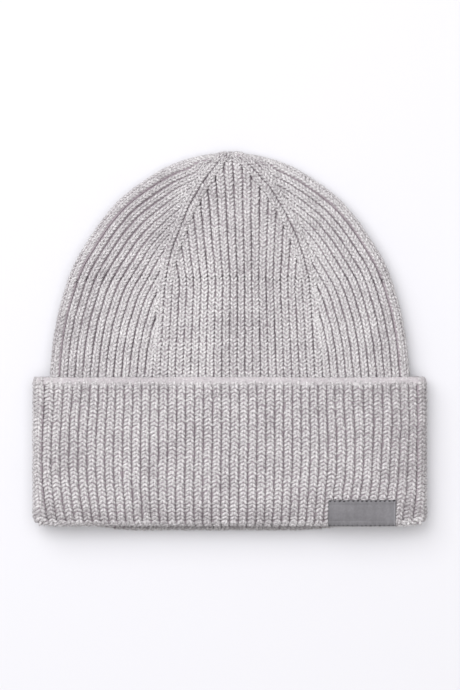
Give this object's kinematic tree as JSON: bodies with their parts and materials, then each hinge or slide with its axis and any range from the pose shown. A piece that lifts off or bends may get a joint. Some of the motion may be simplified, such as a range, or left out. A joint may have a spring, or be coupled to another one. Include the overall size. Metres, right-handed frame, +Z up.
{
  "type": "knit beanie",
  "caption": "Flat-lying ribbed knit hat with a narrowing crown and a turn-up cuff that folds down, with a woven label on the cuff.",
  "frame": {"origin": "bottom centre of the bounding box, on the surface the hat lies on", "axes": "+Z up out of the front of the hat, +Y towards the crown, +X to the viewer's right, opening towards -Y"},
  "size_m": [0.2102, 0.203, 0.0189],
  "materials": {
    "knit": "heathered light grey brushed 1x1 rib",
    "seam_yarn": "linked knit seam in the same yarn",
    "woven_label": "dark grey woven satin, plain",
    "stitch_thread": "dark sewing thread",
    "care_satin": "white printed satin tape, left blank"
  },
  "bodies": {
    "hat_body": {"knit_tube": "knit", "crown_gore_front": "knit", "crown_gore_back": "knit", "crown_gore_left": "knit", "crown_gore_right": "knit", "crown_closing_yarn": "seam_yarn", "centre_back_seam": "seam_yarn", "care_label": "care_satin", "care_label_stitches": "stitch_thread", "cuff_fold_front": "knit", "cuff_fold_back": "knit", "cuff_fold_left": "knit", "cuff_fold_right": "knit"},
    "front_cuff": {"cuff_front": "knit", "cuff_welt_front": "knit", "woven_label": "woven_label", "label_stitches_top": "stitch_thread", "label_stitches_bottom": "stitch_thread"},
    "back_cuff": {"cuff_back": "knit", "cuff_welt_back": "knit"},
    "left_cuff_side": {"cuff_side_left": "knit", "cuff_welt_left": "knit"},
    "right_cuff_side": {"cuff_side_right": "knit", "cuff_welt_right": "knit"}
  },
  "joints": [
    {"name": "front_cuff_turn", "type": "hinge", "parent": "hat_body", "child": "front_cuff", "pos_m": [0, -0.0953, 0.0146], "axis": [1, 0, 0], "range_deg": [0, 180], "deforming": ["cuff_fold_front"]},
    {"name": "back_cuff_turn", "type": "hinge", "parent": "hat_body", "child": "back_cuff", "pos_m": [0, -0.0985, 0.003], "axis": [-1, 0, 0], "range_deg": [0, 180], "deforming": ["cuff_fold_back"]},
    {"name": "left_side_turn", "type": "hinge", "parent": "hat_body", "child": "left_cuff_side", "pos_m": [-0.1, -0.0969, 0.0088], "axis": [1, 0, 0], "range_deg": [0, 180], "deforming": ["cuff_fold_left"]},
    {"name": "right_side_turn", "type": "hinge", "parent": "hat_body", "child": "right_cuff_side", "pos_m": [0.1, -0.0969, 0.0088], "axis": [1, 0, 0], "range_deg": [0, 180], "deforming": ["cuff_fold_right"]}
  ],
  "couplings": [
    {"joint": "back_cuff_turn", "follows": "front_cuff_turn", "ratio": 1},
    {"joint": "left_side_turn", "follows": "front_cuff_turn", "ratio": 1},
    {"joint": "right_side_turn", "follows": "front_cuff_turn", "ratio": 1}
  ]
}
